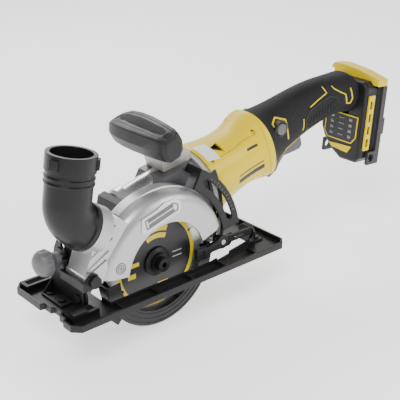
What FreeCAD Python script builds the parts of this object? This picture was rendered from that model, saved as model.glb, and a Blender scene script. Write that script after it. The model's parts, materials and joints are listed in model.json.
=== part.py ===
import FreeCAD, Part
import math
import os

# Compact circular saw, battery tool without its battery. Millimetres, +Z up.
# X runs along the cut with the front at -X, -Y is the side the blade is on, z = 0 is the underside of the
# shoe, and the blade axis crosses the plane y = 0 straight above the origin.
V = FreeCAD.Vector

# ---- driving dimensions ----
BLADE_R = 57.5            # blade radius
CUT_DEPTH = 38.0          # depth of cut with the shoe right down
AXIS_Z = BLADE_R - CUT_DEPTH
PITCH = 15.0              # the motor and handle rise to the rear by this angle
MOTOR_Y = 31.0            # plane through the middle of motor, grip and foot
MOTOR_Z = 28.5            # motor axis over the blade axis, in the tilted saw frame
GAP = 0.3                 # space between parts that move on each other

SHOE_X0, SHOE_X1 = -112.0, 140.0
SHOE_Y0, SHOE_Y1 = -33.0, 67.5
SHOE_T, RIM_H, RIM_T = 2.0, 6.5, 2.2
RAIL_Y = -15.6            # inner edge of the rail beside the blade
WIN_X0, WIN_X1, WIN_Y1 = -63.0, 116.0, 24.0

BEVEL_Y, BEVEL_Z = 0.0, 12.0      # bevel hinge axis, along X
BEVEL_MAX = 45.0
BOLT_Y, BOLT_Z = 23.0, 43.3       # bevel clamp bolt, along X
DEPTH_X, DEPTH_Z = -83.0, 36.3    # depth pivot axis, along Y
QUAD_R, QUAD_W = 155.0, 12.0      # depth quadrant about the depth pivot
LOCK_X, LOCK_Z = 71.2, 20.1       # depth clamp bolt, along Y

GUARD_R, GUARD_IN = 72.5, 44.0    # upper guard rim and its window
GUARD_NEAR, GUARD_BACK = -17.8, 8.5
LOWER_R = 62.0
FOOT_X, FOOT_Z, FOOT_TILT = 295.0, 85.5, 5.0
FOOT_FRONT, FOOT_NEAR, FOOT_FAR = -12.0, -33.0, 25.0      # in the frame of the foot

GEAR_M, SPUR_TEETH = 1.5, 19      # spur pair between layshaft and spindle, 1 : 1
BEVEL_GEAR_R, BEVEL_PIN_R = 20.0, 7.0
BEVEL_GEAR_N, BEVEL_PIN_N = 40, 14

os.makedirs("parts", exist_ok=True)


# ---- helpers ----
def save(name, shape):
    shape.exportStep(f"parts/{name}.step")


def box(x0, x1, y0, y1, z0, z1):
    return Part.makeBox(x1 - x0, y1 - y0, z1 - z0, V(x0, y0, z0))


def cyl_y(x, z, r, y0, y1):
    return Part.makeCylinder(r, y1 - y0, V(x, y0, z), V(0, 1, 0))


def cyl_x(y, z, r, x0, x1):
    return Part.makeCylinder(r, x1 - x0, V(x0, y, z), V(1, 0, 0))


def cyl_z(x, y, r, z0, z1):
    return Part.makeCylinder(r, z1 - z0, V(x, y, z0), V(0, 0, 1))


def cone_x(y, z, r0, r1, x0, x1):
    return Part.makeCone(r0, r1, x1 - x0, V(x0, y, z), V(1, 0, 0))


def ring_y(x, z, r_in, r_out, y0, y1):
    return cyl_y(x, z, r_out, y0, y1).cut(cyl_y(x, z, r_in, y0 - 1, y1 + 1))


def prism(points, direction):
    pts = [V(*p) for p in points]
    return Part.Face(Part.makePolygon(pts + [pts[0]])).extrude(direction)


def prism_xz(points, y0, y1):
    return prism([(x, y0, z) for x, z in points], V(0, y1 - y0, 0))


def prism_yz(points, x0, x1):
    return prism([(x0, y, z) for y, z in points], V(x1 - x0, 0, 0))


def prism_xy(points, z0, z1):
    return prism([(x, y, z0) for x, y in points], V(0, 0, z1 - z0))


def fuse(*shapes):
    out = shapes[0]
    if len(shapes) > 1:
        out = out.fuse(list(shapes[1:]))
    return out.removeSplitter()


def cut(shape, *tools):
    for tool in tools:
        shape = shape.cut(tool)
    return shape


def soften(shape, radius, pick):
    """Round the edges that pick() chooses; the edge midpoint is handed to it."""
    edges = [e for e in shape.Edges if pick(e, e.valueAt((e.FirstParameter + e.LastParameter) / 2))]
    return shape.makeFillet(radius, edges) if edges else shape


def turned(profile, start=0.0, span=360.0):
    """Revolve an (r, y) outline about the blade axis from start over span degrees, +X turning to +Z."""
    pts = [V(r, y, 0) for r, y in profile]
    face = Part.Face(Part.makePolygon(pts + [pts[0]]))
    face.rotate(V(0, 0, 0), V(0, -1, 0), start)
    return face.revolve(V(0, 0, 0), V(0, -1, 0), span)


def polar(r, deg):
    return r * math.cos(math.radians(deg)), r * math.sin(math.radians(deg))


def arc_band(cx, cz, r_in, r_out, a0, a1, y0, y1):
    """Part of a flat ring about (cx, cz) between two angles."""
    shape = turned([(r_in, y0), (r_out, y0), (r_out, y1), (r_in, y1)], a0, a1 - a0)
    shape.translate(V(cx, 0, cz))
    return shape


def arc_slot(cx, cz, r, half, a0, a1, y0, y1):
    """Slot tool that follows an arc, with round ends."""
    ends = [cyl_y(cx + polar(r, a)[0], cz + polar(r, a)[1], half, y0, y1) for a in (a0, a1)]
    return fuse(arc_band(cx, cz, r - half, r + half, a0, a1, y0, y1), *ends)


def oval(x, yc, zc, ry, rz, power=2.3, count=16):
    """Closed oval wire in the plane X = x; a higher power makes it squarer."""
    pts = []
    for i in range(count):
        c, s = math.cos(2 * math.pi * i / count), math.sin(2 * math.pi * i / count)
        k = (abs(c) ** power + abs(s) ** power) ** (-1 / power)
        pts.append(V(x, yc + ry * k * c, zc + rz * k * s))
    curve = Part.BSplineCurve()
    curve.interpolate(Points=pts, PeriodicFlag=True)
    return Part.Wire(curve.toShape())


def loft(sections):
    """Solid through (x, zc, ry, rz) ovals on the motor plane."""
    wires = [oval(x, MOTOR_Y, zc, ry, rz) for x, zc, ry, rz in sections]
    return Part.makeLoft(wires, True)


def tilted(shape):
    """From the saw frame, where the motor lies level, to the frame of the whole tool."""
    out = shape.copy()
    out.rotate(V(0, 0, 0), V(0, 1, 0), -PITCH)
    out.translate(V(0, 0, AXIS_Z))
    return out


def turn_b(x, z):
    """A level offset from the blade axis seen in the tilted saw frame."""
    c, s = math.cos(math.radians(PITCH)), math.sin(math.radians(PITCH))
    return x * c + z * s, -x * s + z * c


def level_b(x, z):
    """The way back from turn_b."""
    c, s = math.cos(math.radians(PITCH)), math.sin(math.radians(PITCH))
    return x * c - z * s, x * s + z * c


def raised(shape):
    """Level parts set round the blade axis, lifted to their height over the shoe."""
    out = shape.copy()
    out.translate(V(0, 0, AXIS_Z))
    return out


def footed(shape):
    """From the frame of the battery foot to the frame of the whole tool."""
    out = shape.copy()
    out.rotate(V(0, 0, 0), V(0, 1, 0), FOOT_TILT)
    out.translate(V(FOOT_X, MOTOR_Y, FOOT_Z))
    return out


def gear(teeth, module, y0, y1, bore, phase=0.0):
    """Spur gear about Y with straight-sided teeth and running clearance at root and flank."""
    pitch_r = teeth * module / 2
    tip, root = pitch_r + 0.85 * module, pitch_r - 1.15 * module
    step = 360.0 / teeth
    pts = []
    for i in range(teeth):
        for r, f in ((root, -0.34), (tip, -0.11), (tip, 0.11), (root, 0.34)):
            x, z = polar(r, phase + (i + f) * step)
            pts.append((x, z))
    return prism_xz(pts, y0, y1).cut(cyl_y(0, 0, bore, y0 - 1, y1 + 1))


def notched_cone(r0, r1, length, teeth, depth, phase=0.0):
    """Bevel gear blank about +X from radius r0 to r1, with tooth spaces cut along the cone."""
    shape = Part.makeCone(r0, r1, length, V(0, 0, 0), V(1, 0, 0))
    tools = []
    for i in range(teeth):
        half = 360.0 / teeth * 0.27
        mid = phase + i * 360.0 / teeth
        ends = []
        for x, r in ((-0.5, r0), (length + 0.5, r1)):
            y0, z0 = polar(r - depth, mid)
            ya, za = polar(r + 1, mid - half)
            yb, zb = polar(r + 1, mid + half)
            pts = [V(x, y0, z0), V(x, ya, za), V(x, yb, zb)]
            ends.append(Part.makePolygon(pts + [pts[0]]))
        tools.append(Part.makeLoft(ends, True, True))
    return cut(shape, Part.makeCompound(tools))


def screw_y(x, z, y_head, side, r=1.9, length=10.0, cap=2.2):
    """Pan-head screw along Y with a cross recess; side is the way its head looks."""
    y0, y1 = sorted((y_head, y_head - side * cap))
    head = cyl_y(x, z, r * 1.75, y0, y1)
    s0, s1 = sorted((y_head - side * cap, y_head - side * (cap + length)))
    r_y0, r_y1 = sorted((y_head + side, y_head - side * 1.1))
    recess = [box(x - a, x + a, r_y0, r_y1, z - b, z + b) for a, b in ((1.9, 0.4), (0.4, 1.9))]
    return cut(fuse(head, cyl_y(x, z, r, s0, s1)), *recess)


# ---- shoe and what is fixed to it ----
RIVETS = ((-92, 18), (-92, 36), (124.5, -3), (124.5, 10))


def shoe():
    c = 7.0
    outline = [(SHOE_X0, SHOE_Y0 + c), (SHOE_X0 + c, SHOE_Y0), (SHOE_X1 - c, SHOE_Y0),
               (SHOE_X1, SHOE_Y0 + c), (SHOE_X1, SHOE_Y1 - c), (SHOE_X1 - c, SHOE_Y1),
               (SHOE_X0 + c, SHOE_Y1), (SHOE_X0, SHOE_Y1 - c), (SHOE_X0, 22.0), (SHOE_X0 + 4, 21.0),
               (SHOE_X0 + 4, 11.0), (SHOE_X0 + 7, 10.0), (SHOE_X0 + 7, -1.0), (SHOE_X0 + 3, -4.0),
               (SHOE_X0 + 3, -12.0), (SHOE_X0, -14.0)]
    plate = prism_xy(outline, 0, SHOE_T)
    wire = Part.makePolygon([V(x, y, 0) for x, y in outline + [outline[0]]])
    inner = wire.makeOffset2D(-RIM_T, 2)
    rim = prism_xy(outline, 0, RIM_H).cut(Part.Face(inner).extrude(V(0, 0, RIM_H)))
    window = [(WIN_X0, RAIL_Y), (52, RAIL_Y), (WIN_X1, -5), (WIN_X1, WIN_Y1), (WIN_X0 + 8, WIN_Y1),
              (WIN_X0, WIN_Y1 - 8)]
    wall = prism_xy([(WIN_X0 - 2, RAIL_Y - 2), (52.5, RAIL_Y - 2), (WIN_X1 - 4, -7.6), (WIN_X1 - 4, -5.6),
                     (52, RAIL_Y), (WIN_X0, RAIL_Y), (WIN_X0, -4), (WIN_X0 - 2, -4)], 0, RIM_H)
    ribs = [box(x, x + 2, SHOE_Y0 + 1, RAIL_Y - 1, 0, RIM_H - 1.5) for x in (-60.0, -20.0, 20.0, 60.0, 100.0)]
    guides = [box(SHOE_X0 + 6, SHOE_X0 + 34, y0, y1, 0, RIM_H + 1.5) for y0, y1 in ((-20, -6.5), (53, 66))]
    body = fuse(plate, rim, wall, *ribs, *guides)
    slots = [box(SHOE_X0 + 9.5, SHOE_X0 + 31, y0, y1, -1, RIM_H + 4) for y0, y1 in ((-17.0, -9.5), (56.0, 63.0))]
    holes = [cyl_z(x, y, 2.1, -1, 4) for x, y in RIVETS]
    relief = box(62, 81, RAIL_Y - 2.5, -8, 3.8, RIM_H + 1)      # room for the depth lever at full bevel
    return cut(body, prism_xy(window, -1, RIM_H + 2), relief, *slots, *holes)


def front_stand():
    """Upright on the shoe that holds the front bevel pin and the bevel clamp bolt."""
    up = prism_yz([(-6, SHOE_T), (42, SHOE_T), (42, 16), (34, 46), (30, 50.5), (17.5, 50.5), (16.2, 46), (16.2, 27),
                   (9, 20.5), (-4, 20.5), (-6, 17)], -86.5, -84.0)
    foot = box(-98, -84, 10, 42, SHOE_T, SHOE_T + 2)
    gusset = prism([(-97, 42, SHOE_T + 2), (-86.5, 42, SHOE_T + 2), (-86.5, 42, 16)], V(0, -2, 0))
    body = fuse(up, foot, gusset)
    return cut(body, cyl_x(BEVEL_Y, BEVEL_Z, 2.55, -90, -80), cyl_x(BOLT_Y, BOLT_Z, 3.05, -90, -80),
               *[cyl_z(x, y, 2.1, 0, 6) for x, y in RIVETS])


def rear_stand():
    """Ear on the shoe that holds the rear bevel pin."""
    up = prism_yz([(-9, SHOE_T), (17, SHOE_T), (10, 13), (5, 20), (-5, 20), (-9, 14)], 116.6, 119.0)
    foot = box(116.6, 129, -9, 17, SHOE_T, SHOE_T + 2)
    return cut(fuse(up, foot), cyl_x(BEVEL_Y, BEVEL_Z, 2.55, 110, 130),
               *[cyl_z(x, y, 2.1, 0, 6) for x, y in RIVETS])


def bevel_pins():
    """Both bevel pins, riveted in the uprights, with heads outside and grooved ends inside."""
    out = []
    for x0, x1, head in ((-86.6, -79.0, -88.5), (111.6, 119.1, 120.8)):
        pin = cyl_x(BEVEL_Y, BEVEL_Z, 2.5, x0, x1)
        h0, h1 = sorted((head, x0 if head < x0 else x1))
        out.append(fuse(pin, cyl_x(BEVEL_Y, BEVEL_Z, 4.2, h0, h1)))
    return Part.makeCompound(out)


def shoe_rivets():
    out = []
    for x, y in RIVETS:
        out.append(fuse(cyl_z(x, y, 2.0, SHOE_T, 4.0), cyl_z(x, y, 3.6, 4.0, 5.4)))
    return Part.makeCompound(out)


def bevel_bolt():
    """Carriage bolt of the bevel clamp: head behind the moving plate, thread through the upright."""
    shank = cyl_x(BOLT_Y, BOLT_Z, 2.9, -100.0, -80.2)
    head = cyl_x(BOLT_Y, BOLT_Z, 7.0, -80.2, -77.6)
    return fuse(shank, head)


def bevel_knob():
    """Mushroom knob on the bevel bolt, domed to the front with grip flutes."""
    outline = [(0, -113.5), (4, -113.2), (8, -111.8), (11, -108.6), (12.2, -105), (12.2, -101), (10, -98),
               (7, -95), (6.5, -89.6), (0, -89.6)]
    pts = [V(x, 0, r) for r, x in outline]
    face = Part.Face(Part.makePolygon(pts + [pts[0]]))
    shape = face.revolve(V(0, 0, 0), V(1, 0, 0), 360)
    shape = cut(shape, Part.makeCylinder(2.95, 12.0, V(-100.6, 0, 0), V(1, 0, 0)))
    flutes = []
    for i in range(12):
        y, z = polar(13.4, 30 * i)
        flutes.append(cyl_x(y, z, 2.0, -112, -99))
    shape = cut(shape, Part.makeCompound(flutes))
    shape.translate(V(0, BOLT_Y, BOLT_Z))
    return shape


# ---- tilting frame ----
def bevel_slot(half, a0, a1):
    """Arc slot tool struck from the bevel hinge, cut along X."""
    tool = arc_slot(0, 0, math.hypot(BOLT_Y - BEVEL_Y, BOLT_Z - BEVEL_Z), half, a0, a1, -5, 5)
    tool.rotate(V(0, 0, 0), V(0, 0, 1), 90)
    tool.translate(V(-82, BEVEL_Y, BEVEL_Z))
    return tool


def tilt_front():
    """Front bracket: slotted bevel plate, band round the guard and the two ears of the depth pivot."""
    plate = prism_yz([(-7, 9), (-4, 4.4), (4, 4.4), (10, 7), (40, 10), (46, 16), (46, 24), (40, 46), (34, 57),
                      (18, 57), (12.4, 50), (12.4, 26), (-5, 20), (-7, 15)], -83.0, -80.6)
    near = prism_xz([(-94, 29), (-78, 29), (-76.5, 36), (-79, 42), (-83, 43.6), (-88, 42), (-91.3, 37), (-94, 37)],
                    -21.2, -18.6)
    band = box(-94, -91.3, -21.2, 15, 29, 37)
    link = box(-94, -80.6, 12.4, 15, 29, 37)
    far = prism_xz([(-83, 12), (-72, 16), (-72, 38), (-77, 45), (-91, 45), (-91, 29.4), (-83.4, 29)], 12.4, 15.0)
    stand_gap = box(-87.4, -83, 15.0, 30, 0, 70)
    body = cut(fuse(plate, near, band, link, far), stand_gap)
    angle = math.degrees(math.atan2(BOLT_Z - BEVEL_Z, BOLT_Y - BEVEL_Y))
    return cut(body, bevel_slot(3.2, angle - BEVEL_MAX - 0.5, angle + 0.5),
               cyl_x(BEVEL_Y, BEVEL_Z, 2.6, -90, -75), cyl_x(26, 52, 2.9, -90, -75),
               cyl_y(DEPTH_X, DEPTH_Z, 3.02, -30, 30))


def tilt_rear():
    """Rear bracket: hinge plate across the shoe and the arm that reaches forward to the quadrant."""
    plate = prism_yz([(-8, 13), (-8, 20), (5, 20), (9, 16), (9, 9), (4, 4.4), (-4, 4.4), (-6.4, 9)], 113.0, 115.2)
    arm = box(84, 115.2, -8, -5, 13, 20)
    toe = prism_xz([(64, 9.2), (86, 9.2), (90, 13), (90, 20), (79, 14), (64, 14)], -7, -5)
    body = fuse(plate, arm, toe)
    return cut(body, cyl_x(BEVEL_Y, BEVEL_Z, 2.6, 110, 130), box(92, 108, -10, -4, 15.0, 18.0))


def quadrant():
    """Slotted depth quadrant, struck from the depth pivot, standing on the rear arm."""
    band = arc_band(DEPTH_X, DEPTH_Z, QUAD_R - QUAD_W / 2, QUAD_R + QUAD_W / 2, -8.0, 21.0, -7, -5)
    band = cut(band, arc_slot(DEPTH_X, DEPTH_Z, QUAD_R, 3.2, -6.0, 17.6, -8, -4))
    return cut(band, box(40, 120, -8, -4, 0, 14.05))


def depth_pin():
    """Headed pin of the depth pivot, staked flush in the far ear."""
    return fuse(cyl_y(DEPTH_X, DEPTH_Z, 3.0, -21.4, 15.2), cyl_y(DEPTH_X, DEPTH_Z, 5.5, -24.6, -21.4))


# ---- guard and gear case ----
GUARD_SCREWS = ((-22.0, 16.0), (24.0, 12.0), (20.0, 51.0))      # in the saw frame
CHIP = [(-89.6, 17.6), (-73.9, 57.2), (-52.0, 66.0), (-42.0, 56.0), (-66.0, 27.0), (-70.0, 14.0)]


def upper_guard():
    """Fixed upper guard: a shell open below, chip box at the front, bead on its rim."""
    shell = [(GUARD_IN, GUARD_NEAR), (60, GUARD_NEAR), (64, -17.0), (67.6, -14.8), (70.4, -11), (71.8, -6.6),
             (72.0, -3.6), (GUARD_R + 0.8, -3.0), (GUARD_R + 0.8, -0.6), (GUARD_R, 0), (GUARD_R, GUARD_BACK),
             (17.4, GUARD_BACK), (17.4, 6.0), (70.0, 6.0), (70.0, -3.6), (69.5, -6.2), (68.2, -10),
             (65.9, -12.9), (62.8, -14.8), (59.6, -15.4), (GUARD_IN, -15.4)]
    skin = turned(shell, 17.5, 155.0)
    chute = prism_xz(CHIP, -16.0, 10.4)
    hollow = prism_xz([(-85.6, 20.0), (-71.6, 54.0), (-54.0, 60.5), (-30.0, 42.0), (-50.0, 20.0)], -13.4, 6.0)
    keep = cyl_y(0, 0, 69.9, -13.4, 6.0)
    port = Part.makeCylinder(22.0, 12.6, V(-64.8, 0, 51.4), V(-0.84, 0, 0.54))
    bore = Part.makeCylinder(19.0, 20.0, V(-66.9, 0, 52.75), V(-0.84, 0, 0.54))
    way_in = Part.makeCylinder(19.0, 40.0, V(-50.0, 0, 42.0), V(-0.84, 0, 0.54)).common(box(-90, 0, -13.4, 6, 0, 90))
    lug = prism_xz([(-90, 10), (-72, 10), (-66, 22), (-66, 30), (-89.6, 20)], -17.6, 11.6)
    outer = fuse(skin, chute.cut(keep), port.cut(cyl_y(0, 0, 70.5, -30, 30)), lug.cut(keep))
    ribs = []
    for x, z in ((-80.0, 46.0), (-84.0, 35.0), (-88.0, 24.5)):
        rib = box(0, 26, -17.4, -15.9, -1.3, 1.3)
        rib.rotate(V(0, 0, 0), V(0, -1, 0), 28)
        rib.translate(V(x + 2.5, 0, z))
        ribs.append(rib.cut(cyl_y(0, 0, 66.0, -30, 30)))
    outer = fuse(outer, *ribs)
    pin = cyl_y(DEPTH_X, DEPTH_Z - AXIS_Z, 3.06, -30, 30)
    spots = [level_b(x, z) for x, z in GUARD_SCREWS]
    bolts = [fuse(cyl_y(x, z, 1.7, 4, 9), cyl_y(x, z, 2.85, 4, 7.3)) for x, z in spots]
    sweep = ring_y(DEPTH_X, DEPTH_Z - AXIS_Z, QUAD_R - QUAD_W / 2 - 0.4, QUAD_R + QUAD_W / 2 + 0.4, -7.4, -4.6)
    return raised(cut(outer, hollow.cut(cyl_y(0, 0, 70.0, -30, -13.0)), bore, way_in.cut(keep), pin, sweep, *bolts))


def guard_badge():
    """Blank raised plate on the near face of the guard."""
    plate = prism_xz([(-17, 50), (-13, 46), (26, 46), (30, 50), (30, 57), (25, 61.5), (14, 64.4),
                      (4, 62), (-13, 62)], -18.6, -17.8)
    plate = plate.cut(cyl_y(0, 0, 45.5, -30, 0))
    return tilted(plate)


def guard_screws():
    """Countersunk screws that hold the guard on the gear case, set flush in its back wall."""
    return tilted(Part.makeCompound([screw_y(x, z, 6.1, -1, 1.6, 5.0, 1.2) for x, z in GUARD_SCREWS]))


def gear_case():
    """Aluminium gear case: spindle boss, layshaft lobe and the neck that takes the motor."""
    lobe = fuse(cyl_y(0, 0, 18.3, 8.8, 16.8), cyl_y(0, 0, 15.4, 16.8, 23.4), cyl_y(0, MOTOR_Z, 27.0, 8.8, 37.0),
                prism_xz([(-14.5, 7), (14.5, 7), (24, MOTOR_Z - 8), (-24, MOTOR_Z - 8)], 8.8, 24.0))
    neck = fuse(cyl_x(MOTOR_Y, MOTOR_Z, 22.0, 0, 52), cone_x(MOTOR_Y, MOTOR_Z, 22.0, 35.0, 48, 72),
                cyl_x(MOTOR_Y, MOTOR_Z, 35.0, 72, 78))
    hump = prism_xz([(20, 50), (36, 66), (72, 63), (72, 40)], 10.0, 46.0)
    lock = fuse(prism_xz([(62, -20), (76, -20), (77.7, -8), (77.7, 12), (60, 16)], 9.2, 12.0),
                cyl_y(*LOCK_B, 6.5, 5.3, 12.0))
    bosses = [cyl_y(x, z, 4.2, 8.8, 15.0) for x, z in GUARD_SCREWS]
    body = cut(fuse(lobe, neck, hump, *bosses), cyl_y(0, 0, 73.0, -40, 8.8))
    body = fuse(body, ring_y(0, 0, 9.0, 14.54, 3.9, 8.8))
    inside = [cyl_y(0, MOTOR_Z, 23.5, 9.9, 34.5), cyl_y(0, 0, 16.5, 9.9, 15.6), cyl_y(0, 0, 9.0, 3, 10),
              cyl_x(MOTOR_Y, MOTOR_Z, 17.0, 0, 41), cyl_x(MOTOR_Y, MOTOR_Z, 17.0, 46, 79),
              cyl_x(MOTOR_Y, MOTOR_Z, 9.02, 40, 47), cone_x(MOTOR_Y, MOTOR_Z, 17.0, 31.5, 56, 76),
              cyl_x(MOTOR_Y, MOTOR_Z, 31.5, 76, 80)]
    bores = [cyl_y(0, 0, 5.0, 0, 20), cyl_y(*LOCK_B, 2.6, -10, 20),
             cyl_y(*SPINDLE_LOCK, 2.45, 33, 38), cyl_y(0, MOTOR_Z, 3.95, 33, 36.6)]
    vents = [box(56 + 7 * i, 59.5 + 7 * i, 20, 42, 50, 70) for i in range(3)]
    taps = [cyl_y(x, z, 1.7, 4, 12.6) for x, z in GUARD_SCREWS]
    return tilted(cut(fuse(body, lock), *inside, *bores, *vents, *taps))


LOCK_B = turn_b(LOCK_X, LOCK_Z - AXIS_Z)
SPINDLE_LOCK = (-12.0, MOTOR_Z + 12.0)


def neck_ring():
    """Pale ring between the gear case and the motor housing."""
    ring = cyl_x(MOTOR_Y, MOTOR_Z, 36.4, 78.1, 82.9).cut(cyl_x(MOTOR_Y, MOTOR_Z, 31.5, 70, 90))
    return tilted(ring.cut(box(70, 90, -10, -4.6, -50, 90)))      # flat that clears the depth quadrant


def nose_tube():
    """Silver tube on top of the gear case with a stepped collar at its front."""
    tube = fuse(cyl_x(MOTOR_Y, 52.5, 13.6, 4, 46), cyl_x(MOTOR_Y, 52.5, 16.6, -3, 4),
                cone_x(MOTOR_Y, 52.5, 14.6, 16.6, -6, -3))
    return tilted(cut(tube, cyl_y(0, MOTOR_Z, 27.2, 0, 60), cyl_x(MOTOR_Y, MOTOR_Z, 22.1, -20, 60),
                      prism_xz([(20, 50), (36, 66), (72, 63), (72, 40)], 9.9, 46.1),
                      cyl_x(MOTOR_Y, 52.5, 9.5, -7, 14)))


def nose_fairing():
    """Dark plastic cover that runs from the tube down behind the front of the guard."""
    skin = prism_xz([(-33, 22), (-28, 20), (-8, 33), (-6.4, 66), (-14, 66), (-31, 34)], 10.0, 47.0)
    skin = soften(skin, 4.0, lambda e, m: abs(m.y - 47.0) < 0.1)
    return tilted(cut(skin, cyl_y(0, MOTOR_Z, 27.2, 0, 60), cyl_y(0, 0, 73.3, -20, 9.9)))


def arc_bracket():
    """Black slotted bracket that follows the rear of the guard and covers the clamp."""
    band = arc_band(0, 0, 73.4, 94.0, 9.0, 61.0, -12.4, -10.2)
    slot = arc_slot(0, 0, 84.0, 3.4, 17.0, 53.0, -13, -9)
    tab = arc_band(0, 0, 91.0, 94.0, 54.0, 60.0, -10.2, -1.0)
    top = arc_band(0, 0, 86.0, 94.0, 54.0, 60.0, -1.0, 9.9)
    return raised(fuse(cut(band, slot), tab, top))


def depth_bolt():
    """Clamp bolt: head behind the gear case lug and a collar that backs the quadrant."""
    x, z = LOCK_X, LOCK_Z
    return fuse(cyl_y(x, z, 2.55, -14.4, 12.2), cyl_y(x, z, 5.4, 12.2, 15.4), cyl_y(x, z, 4.6, -4.6, -2.4))


def depth_lever():
    """Clamp lever of the depth setting: round hub and an arm with a square end."""
    hub = cyl_y(0, 0, 7.0, -13.6, -7.4)
    arm = prism_xz([(0, 4.4), (0, -4.4), (-24, -8.4), (-24, -0.4)], -13.4, -9.6)
    pad = box(-33, -21, -14.2, -9.6, -10.0, 2.0)
    pad = cut(pad, box(-30.4, -23.6, -16, -13.0, -7.4, -0.6))
    body = fuse(hub, arm, pad)
    body = cut(body, cyl_y(0, 0, 2.62, -20, 0))
    body.translate(V(LOCK_X, 0, LOCK_Z))
    return body


# ---- spindle, gears and blade ----
def spindle():
    shaft = fuse(cyl_y(0, 0, 4.96, -3.9, 19.6), cyl_y(0, 0, 8.0, 5.0, 9.4))
    return tilted(cut(shaft, cyl_y(0, 0, 2.0, -5, 8)))


def inner_flange():
    return tilted(fuse(ring_y(0, 0, 4.98, 14.0, 1.0, 3.4), ring_y(0, 0, 4.98, 8.6, 3.4, 4.9)))


def outer_flange():
    cup = turned([(5.0, -1.0), (14.0, -1.0), (14.0, -2.6), (11.5, -4.4), (5.0, -4.4)])
    return tilted(cup)


def blade_bolt():
    """Hexagon-socket bolt with its washer, standing out from the outer flange."""
    head = fuse(cyl_y(0, 0, 9.0, -6.2, -4.4), cyl_y(0, 0, 6.5, -12.6, -6.2))
    body = fuse(head, cyl_y(0, 0, 1.96, -4.4, 7.0))
    hexagon = [polar(2.9, 60 * i) for i in range(6)]
    return tilted(cut(body, prism_xz(hexagon, -13, -8.4)))


def blade():
    """Toothed blade with expansion slots; the bore fits the spindle."""
    teeth, pts = 24, []
    step = 360.0 / teeth
    for i in range(teeth):
        for r, f in ((BLADE_R, 0.0), (BLADE_R - 2.0, 0.30), (BLADE_R - 5.2, 0.86), (BLADE_R - 5.0, 0.97)):
            pts.append(polar(r, (i + f) * step))
    disc = prism_xz(pts, -0.6, 0.6)
    slots = []
    for i in range(4):
        slot = fuse(box(BLADE_R - 14, BLADE_R, -2, 2, -0.5, 0.5), cyl_y(BLADE_R - 14, 0, 1.6, -2, 2))
        slot.rotate(V(0, 0, 0), V(0, -1, 0), 90 * i + 11)
        slots.append(slot)
    return tilted(fuse(cut(disc, cyl_y(0, 0, 5.0, -2, 2), *slots), *blade_tips(teeth)))


def blade_tips(teeth):
    """Carbide tips, a little wider than the disc, brazed on in front of the teeth."""
    tips = []
    for i in range(teeth):
        tip = prism_xz([(BLADE_R - 0.2, -0.9), (BLADE_R, 0.9), (BLADE_R - 3.6, 0.9), (BLADE_R - 3.6, -0.9)], -0.9, 0.9)
        tip.rotate(V(0, 0, 0), V(0, -1, 0), i * 360.0 / teeth)
        tips.append(tip)
    return tips


def spindle_gear():
    return tilted(gear(SPUR_TEETH, GEAR_M, 10.4, 15.0, 4.98, 90.0 + 180.0 / SPUR_TEETH))


def layshaft():
    shaft = cyl_y(0, 0, 3.9, 10.2, 36.3)
    spur = gear(SPUR_TEETH, GEAR_M, 10.4, 15.0, 3.8, 270.0)
    shape = fuse(shaft, spur)
    shape.translate(V(0, 0, MOTOR_Z))
    return tilted(shape)


def bevel_gear():
    """Crown-like gear on the layshaft; its teeth lie on the pitch cone whose tip is on the motor axis."""
    slope = math.degrees(math.atan2(BEVEL_PIN_R, BEVEL_GEAR_R))
    y_out = MOTOR_Y - BEVEL_PIN_R - GAP / 2
    face = BEVEL_GEAR_R * 0.28
    rise = face * math.tan(math.radians(slope))
    outline = [(3.92, y_out - 4.0), (BEVEL_GEAR_R, y_out - 4.0), (BEVEL_GEAR_R, y_out),
               (BEVEL_GEAR_R - face, y_out + rise), (3.92, y_out + rise)]
    body = turned(outline)
    tools = []
    for i in range(BEVEL_GEAR_N):
        tool = box(-9.0, 1.0, -1.3, 3.0, -0.62, 0.62)
        tool.rotate(V(0, 0, 0), V(0, 0, 1), -slope)
        tool.translate(V(BEVEL_GEAR_R, y_out, 0))
        tool.rotate(V(0, 0, 0), V(0, -1, 0), (i + 0.5) * 360.0 / BEVEL_GEAR_N)
        tools.append(tool)
    body = body.cut(Part.makeCompound(tools))
    body.translate(V(0, 0, MOTOR_Z))
    return tilted(body)


def rotor_shaft():
    return tilted(cyl_x(MOTOR_Y, MOTOR_Z, 3.0, 13.0, 152.0))


def bevel_pinion():
    x0, x1 = BEVEL_GEAR_R * 0.7, BEVEL_GEAR_R + 0.4
    r0, r1 = (BEVEL_PIN_R * x / BEVEL_GEAR_R - GAP / 2 for x in (x0, x1))
    cone = notched_cone(r0, r1, x1 - x0, BEVEL_PIN_N, 1.3, 180.0 / BEVEL_PIN_N)
    body = fuse(cone, Part.makeCylinder(5.0, 6.0, V(x1 - x0, 0, 0), V(1, 0, 0)))
    body = body.cut(Part.makeCylinder(3.02, 30.0, V(-3.0, 0, 0), V(1, 0, 0)))
    body.translate(V(x0, MOTOR_Y, MOTOR_Z))
    return tilted(body)


def motor_bearing(x0, x1, r_out, r_in):
    return cyl_x(MOTOR_Y, MOTOR_Z, r_out, x0, x1).cut(cyl_x(MOTOR_Y, MOTOR_Z, r_in, x0 - 1, x1 + 1))


def motor_bearings():
    front, rear = motor_bearing(40, 47, 9.0, 3.02), motor_bearing(146, 151, 8.0, 3.02)
    return tilted(Part.makeCompound([front, rear]))


def motor_can():
    can = cyl_x(MOTOR_Y, MOTOR_Z, 23.0, 88, 138).cut(cyl_x(MOTOR_Y, MOTOR_Z, 21.4, 89.5, 140))
    can = can.cut(cyl_x(MOTOR_Y, MOTOR_Z, 6.0, 80, 92))
    return tilted(cut(can, box(132, 136, MOTOR_Y - 25, MOTOR_Y + 25, MOTOR_Z - 5, MOTOR_Z + 5)))


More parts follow.
